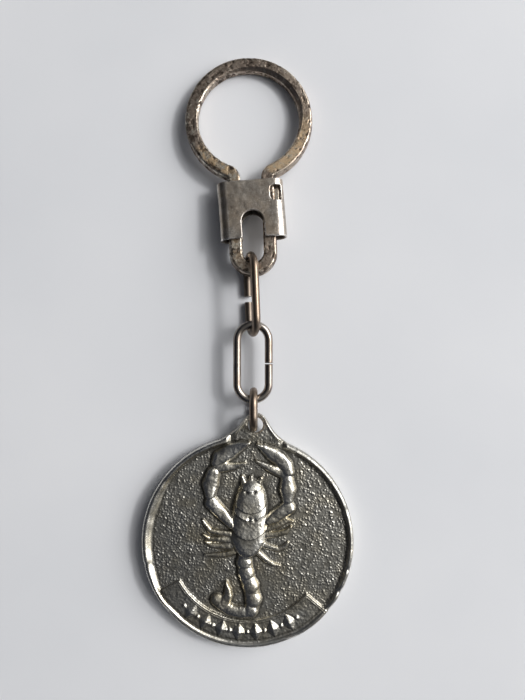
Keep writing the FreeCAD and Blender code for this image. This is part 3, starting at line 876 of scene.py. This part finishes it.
def ring():
    plan, left = stations(ring_plan(), RING_STEP)
    s = travelled(plan)
    sections, bevel, clock, on_ring = ring_sections(plan)
    count = sections.shape[1]
    index = np.arange(count)
    is_face = (index <= FACE_POINTS) * 1.0
    is_bevel = (index >= count - BEVEL_POINTS) * 1.0
    inner_line = (index >= count - BEVEL_POINTS - 2) * 1.0
    face_edges = ((index <= 1) | (np.abs(index - FACE_POINTS - 2) <= 3)) * 1.0
    ss = np.repeat(s[:, None], count, axis=1)
    steps = np.diff(sections, axis=1, prepend=sections[:, -1:])
    around = np.cumsum(np.hypot(steps[..., 0], steps[..., 1]), axis=1)
    pit = smooth((rough_noise(ss, around, 0.8, 23) - 0.17) / 0.12)
    casting = rough_noise(ss, around, 0.4, 25)
    swell = noise(ss, around, 2.6, 27)
    polished = between(clock, 102, 14, 172, 8) * on_ring
    islands = smooth((rough_noise(ss, around, 1.5, 35) - 0.16) / 0.1)
    polished = polished[:, None] * (1 - islands)
    calm = np.clip(np.maximum(np.outer(bevel, is_bevel), 0.95 * polished), 0, 1)
    sink = (0.055 * pit + 0.06 * np.abs(casting)) * (1 - 0.85 * calm) + 0.02 * np.abs(swell)
    reach = np.hypot(sections[..., 0], sections[..., 1])
    near = np.minimum(s, s[-1] - s)
    scale = (1 - rounding(near, 0.25) * 0.5)[:, None]
    sections = sections * ((1 - sink / reach) * scale)[..., None]
    points, faces = sweep(plan, left, sections)
    # wear and painted highlights: bright flecks, a painted highlight along the inner edge on the left, which
    # faces the light, cream patches at the lower left and on the left leg
    fleck = smooth((rough_noise(ss, around, 0.55, 29) - 0.24) / 0.12)
    left_inner = between(clock, 235, 20, 325, 20) * on_ring
    lower_left = between(clock, 186, 12, 246, 14) * on_ring
    across, up = plan.T
    left_leg = smooth(-across - 1) * smooth((16.5 - up) / 2) * smooth((up + 2.4) / 1.5)
    flaky = smooth((rough_noise(ss, around, 0.8, 33) + 0.02) / 0.14)
    cream = (0.6 * lower_left + 1.0 * left_leg)[:, None] * flaky
    # Painted highlight: more bright flecks and a bright line along the inner edge on the left side of the
    # ring.
    wear = (0.5 + 0.35 * left_inner[:, None]) * fleck + 0.3 * np.outer(left_inner, inner_line)
    wear = wear + 0.22 * face_edges * (swell > -0.1) + cream + 0.05 * polished
    wear = np.clip(wear - 0.25 * pit * (1 - calm) + 0.08, 0, 1)
    # tint: tan on the face, along the ring's lower half and on the left leg
    lower_right = smooth((clock - 82) / 18) * on_ring * smooth((190 - clock) / 10)
    tan_along = 0.6 * lower_right + 1.1 * lower_left + 0.4 * left_leg
    tan = np.clip((1.4 * polished + tan_along[:, None]) * is_face, 0, 1)
    tint = np.clip(tan + 0.25 * swell, 0, 1)
    # darkening: pits, dark spots, a dark line along both edges of the face, and the shores of the islands in
    # the polished part
    on_face = 1 - np.abs(index - 7.0)[None, :] / 8
    rim_of_face = smooth((0.35 - on_face) / 0.3) * is_face
    shore = bell(islands - 0.5, 0.3) * smooth((clock - 92) / 12)[:, None] * smooth((178 - clock) / 8)[:, None]
    grime = 0.75 * pit * (1 - calm) + 0.5 * shore * is_face * on_ring[:, None]
    grime = grime + 0.7 * rim_of_face * (casting > -0.15) * (1 - 0.6 * bevel[:, None])
    spots = smooth((rough_noise(ss, around, 0.45, 37) - 0.14) / 0.12) * (1 - calm)
    grime = np.clip(grime + 0.65 * spots + 0.5 * np.clip(-swell - 0.1, 0, 1) * (1 - polished), 0, 1)
    tooth_points, tooth_faces = tooth()
    tooth_noise = rough_noise(tooth_points[:, 0] + tooth_points[:, 2], tooth_points[:, 1], 0.5, 55)
    wear = np.concatenate([wear.ravel(), [0.4, 0.4], np.clip(0.25 + 1.6 * tooth_noise, 0, 1)])
    tint = np.concatenate([tint.ravel(), [0, 0], np.full(len(tooth_points), 0.1)])
    grime = np.concatenate([grime.ravel(), [0, 0], np.clip(0.5 - 1.6 * tooth_noise, 0, 1)])
    all_points = in_ring_frame(np.vstack([points, tooth_points]))
    all_faces = np.vstack([faces, tooth_faces + len(points)])
    make_piece("ring_wire", all_points, all_faces, "ring", "ring_frame", "ring_steel", "ring_wire_steel",
               wear=wear, tint=tint, grime=grime)


def tooth():
    """Latch tooth on the outer side of the ring's free end: a small rounded block."""
    half = np.array([0.85, 1.27, 0.74])
    middle = np.array([LEG_U + HALF_W + 0.06, SPLIT_V + 1.7, 0.0])
    k = 10
    t = np.linspace(-1, 1, k)
    points, faces = [], []
    for axis in range(3):
        for sign in (-1, 1):
            start = len(points) * k * k
            a, b = np.meshgrid(t, t, indexing="ij")
            cube = np.zeros((k * k, 3))
            cube[:, axis] = sign
            cube[:, (axis + 1) % 3] = a.ravel()
            cube[:, (axis + 2) % 3] = b.ravel()
            points.append(cube)
            i, j = np.meshgrid(np.arange(k - 1), np.arange(k - 1), indexing="ij")
            corner = (start + i * k + j).ravel()
            quad = np.column_stack([corner, corner + k, corner + k + 1, corner + 1])
            faces.append(quad if sign > 0 else quad[:, ::-1])
    cube = np.vstack(points)
    unique, index = np.unique(np.round(cube, 6), axis=0, return_inverse=True)
    radius = 0.22
    inner = np.clip(unique * half, radius - half, half - radius)
    away = unique * half - inner
    size = np.linalg.norm(away, axis=1)[:, None]
    rounded = inner + away / np.maximum(size, 1e-9) * np.minimum(size, radius)
    knocks = [noise(unique[:, 1] * 3, unique[:, 2] * 3, 1.0, seed) for seed in (51, 52, 53)]
    rounded = rounded + 0.02 * np.column_stack(knocks)
    return rounded + middle, index.ravel()[np.vstack(faces)]


# === lock sleeve ====================================================================================
def wrap(p):
    """Place and outward direction on the sleeve's middle surface, at a distance p round it from its seam."""
    edges = np.cumsum([FLAT_HALF, FOLD, 2 * FLAT_HALF, FOLD])
    part = [p <= edge for edge in edges]
    right = (p - edges[0]) / FOLD * np.pi - np.pi / 2
    left = (p - edges[2]) / FOLD * np.pi + np.pi / 2
    flat_u = np.select(part, [p, FLAT_HALF, FRONT_MID - p, -FLAT_HALF], p - PERIMETER)
    out_u = np.select(part, [0.0, np.cos(right), 0.0, np.cos(left)], 0.0)
    out_n = np.select(part, [-1.0, np.sin(right), 1.0, np.sin(left)], -1.0)
    return flat_u + FOLD_R * out_u, FOLD_R * out_n, out_u, out_n


def rounded_corner(corner, before, after, radius):
    """Three points that round a corner of a polyline."""
    c, b, a = (np.asarray(q, float) for q in (corner, before, after))
    to_b = (b - c) / np.linalg.norm(b - c)
    to_a = (a - c) / np.linalg.norm(a - c)
    return [tuple(c + to_b * radius), tuple(c + (to_b + to_a) * radius * 0.293), tuple(c + to_a * radius)]


def sleeve():
    h = NOTCH_HALF
    rise = NOTCH_DEPTH - h
    f_l, f_r = FRONT_MID + h, FRONT_MID - h
    soft = 0.45
    sheet_line = list(map(tuple, arc((0, rise), h, 90, 0, 24)))
    sheet_line += rounded_corner((h, 0), (h, rise), (f_r, 0), soft)
    sheet_line += rounded_corner((f_r, 0), (h, 0), (f_r, rise), soft)
    sheet_line += list(map(tuple, arc((FRONT_MID, rise), h, 180, 0, 40)))
    sheet_line += rounded_corner((f_l, 0), (f_l, rise), (PERIMETER - h, 0), soft)
    sheet_line += rounded_corner((PERIMETER - h, 0), (f_l, 0), (PERIMETER - h, rise), soft)
    sheet_line += list(map(tuple, arc((PERIMETER, rise), h, 180, 90, 24)))
    edge_low = resample(sheet_line, 0.14)
    seam_v = np.arange(NOTCH_DEPTH, SLEEVE_L - 0.05, 0.15)
    seam_right = np.column_stack([np.full(len(seam_v), PERIMETER), seam_v])
    top = np.arange(PERIMETER, 0.05, -0.14)
    edge_top = np.column_stack([top, np.full(len(top), SLEEVE_L)])
    seam_left = np.column_stack([np.zeros(len(seam_v)), seam_v])[::-1]
    corner = np.array([[0.0, SLEEVE_L]])
    loop = np.vstack([edge_low[1:], seam_right, edge_top, corner, seam_left])
    w_low, w_high = FLAT_HALF + FOLD * 0.74, FLAT_HALF + FOLD + 0.85
    a_low, a_high = WINDOW_V - WINDOW_HALF_L, WINDOW_V + WINDOW_HALF_L
    corners = [(w_low, a_low), (w_low, a_high), (w_high, a_high), (w_high, a_low)]
    window = []
    for i, c in enumerate(corners):
        window += rounded_corner(c, corners[i - 1], corners[(i + 1) % 4], 0.25 if i < 2 else 0.7)
    hole = resample(window + window[:1], 0.13)
    shape = Outline([loop, hole], open_sides=(0.0, PERIMETER))
    plan, tris = shape.fill(SHEET_PITCH, (0.04, 0.09, 0.15))
    p, v = plan.T
    depth = np.abs(shape.depth(plan))
    u, n, out_u, out_n = wrap(p)
    seam = np.minimum(p, PERIMETER - p)
    lip = 0.06 * bell(v, 0.4)
    dent = 0.07 * rough_noise(p, v, 3.4, 81) + 0.02 * noise(p, v, 0.8, 83) - 0.1 * bell(seam, 0.14)
    pocked = -0.025 * smooth((rough_noise(p, v, 0.5, 85) - 0.3) / 0.15)
    half = SHEET / 2 - rounding(depth, 0.13)
    skins = []
    for side in (1, -1):
        off = lip + dent + side * half + (pocked if side > 0 else 0)
        skins.append(np.column_stack([u + out_u * off, v, n + out_n * off]))
    count = len(plan)
    merge = np.arange(count)
    at_start = {round(v[i], 4): i for i in np.flatnonzero(p < 1e-6)}
    for i in np.flatnonzero(p > PERIMETER - 1e-6):
        merge[i] = at_start.get(round(v[i], 4), i)
    tris = merge[tris]
    sides = np.vstack([tris[:, [0, 1]], tris[:, [1, 2]], tris[:, [2, 0]]])
    key = np.sort(sides, axis=1) @ np.array([count, 1])
    _, first, uses = np.unique(key, return_index=True, return_counts=True)
    rims = sides[first[uses == 1]]
    faces = np.vstack([
        np.column_stack([tris, tris[:, 2]]),
        np.column_stack([tris[:, ::-1], tris[:, 0]]) + count,
        np.column_stack([rims[:, 1], rims[:, 0], rims[:, 0] + count, rims[:, 1] + count]),
    ])
    points = turned(np.vstack(skins), math.radians(SLEEVE_TURN), SLEEVE_L / 2)
    points[:, 1] += SLEEVE_V
    edge_wear = smooth((0.3 - depth) / 0.25) * (0.55 + noise(p, v, 1.5, 87))
    # Painted highlights: a broad one on the upper part of the right fold, which faces the light, a thin line
    # of reflection along the outer edge of the left fold, and a line where the front meets the left fold.
    fold_highlight = 0.7 * bell(p - (FLAT_HALF + FOLD * 0.86), 0.5)
    fold_highlight += 1.3 * bell(p - (LEFT_FOLD + FOLD * 0.4), 0.26) + 0.6 * bell(p - LEFT_FOLD, 0.1)
    wear = 0.1 + edge_wear + fold_highlight * (0.7 + noise(p, v, 2.5, 89)) + 0.3 * rough_noise(p, v, 1.6, 90)
    wear = np.clip(wear, 0, 1)
    tint = np.clip(0.3 + rough_noise(p, v, 3.0, 93), 0, 1)
    # Painted shade: a dark band on the upper part of the left fold, which faces away from the light.
    fold_shade = 0.5 * np.exp(-((p - (LEFT_FOLD + FOLD * 0.17)) / 0.36) ** 4)
    grime = np.clip(fold_shade - pocked * 14, 0, 0.6)
    # The inner skin gets 0.4 of the outer skin's wear and highlights and is darker throughout.
    make_piece("lock_sleeve_sheet", in_ring_frame(points), faces, "sleeve", "lock_sleeve", "sleeve_steel",
               "sleeve_sheet_steel", wear=np.concatenate([wear, wear * 0.4]), tint=np.tile(tint, 2),
               grime=np.concatenate([grime, np.full(count, 0.6)]))


# === assembly =======================================================================================
medal()
for link_name in LINKS:
    link(link_name)
ring()
sleeve()


# === floor, light and camera ========================================================================
def table_top():
    mesh = bpy.data.meshes.new("table_top")
    h = TABLE_HALF
    mesh.from_pydata([(-h, -h, 0), (h, -h, 0), (h, h, 0), (-h, h, 0)], [], [(0, 1, 2, 3)])
    material, tree, shader = new_material("pale_table")
    place = node(tree, "TexCoord").outputs["Object"]
    broad = noise_node(tree, place, 22.0, 3.0)
    colour = blend_colour(tree, spread(tree, broad, 0.3, 0.7), (0.685, 0.70, 0.73), (0.74, 0.75, 0.775))
    tree.links.new(colour, shader.inputs["Base Color"])
    shader.inputs["Roughness"].default_value = 0.8
    fine = noise_node(tree, place, 900.0, 2.0)
    bumped = node(tree, "Bump", {"Height": fine, "Strength": 0.15, "Distance": 0.05 * MM})
    tree.links.new(bumped.outputs[0], shader.inputs["Normal"])
    mesh.materials.append(material)
    add_object("table_top", mesh)


def area_light(name, side, size, power):
    """Rectangular light on one side of the keychain, facing its middle."""
    data = bpy.data.lights.new(name, "AREA")
    data.shape = "RECTANGLE"
    data.size, data.size_y = size
    data.energy = power
    data.color = LIGHT_COLOUR
    low, high = (Vector(corner) for corner in CAD_BOX)
    centre = (low + high) / 2
    place = centre + LIGHT_DISTANCE * side
    obj = add_object(name, data)
    obj.location = place
    obj.rotation_euler = (centre - place).to_track_quat("-Z", "Y").to_euler()


def surroundings():
    """Sky that is brightest towards the window, and pale where the camera sees it directly."""
    world = bpy.data.worlds.new("studio")
    bpy.context.scene.world = world
    world.use_nodes = True
    sky = world.node_tree
    toward = node(sky, "TexCoord").outputs["Generated"]
    facing = node(sky, "VectorMath", {0: toward, 1: WINDOW_SIDE}, operation="DOT_PRODUCT").outputs["Value"]
    far_sky = blend_colour(sky, spread(sky, facing, 0.35, 0.75), (0.028, 0.032, 0.044), (0.27, 0.27, 0.265))
    sky_colour = blend_colour(sky, spread(sky, facing, 0.82, 1.0), far_sky, (0.9, 0.89, 0.87))
    seen = node(sky, "LightPath").outputs["Is Camera Ray"]
    sky.links.new(blend_colour(sky, seen, sky_colour, (0.70, 0.71, 0.73)), sky.nodes["Background"].inputs[0])
    sky.nodes["Background"].inputs[1].default_value = 1.0


table_top()
area_light("window", WINDOW_SIDE, WINDOW_SIZE, WINDOW_POWER)
area_light("bright_wall", WALL_SIDE, WALL_SIZE, WALL_POWER)
surroundings()
bpy.context.scene.view_settings.view_transform = "Standard"

camera = bpy.data.cameras.new("camera")
camera.lens = CAMERA_LENS
camera.sensor_width = 36.0
camera.clip_start = 0.01
camera.clip_end = 5.0
eye = add_object("camera", camera)
eye.location = [c * MM for c in CAMERA_PLACE]
eye.rotation_euler = (0, 0, 0)
bpy.context.scene.camera = eye
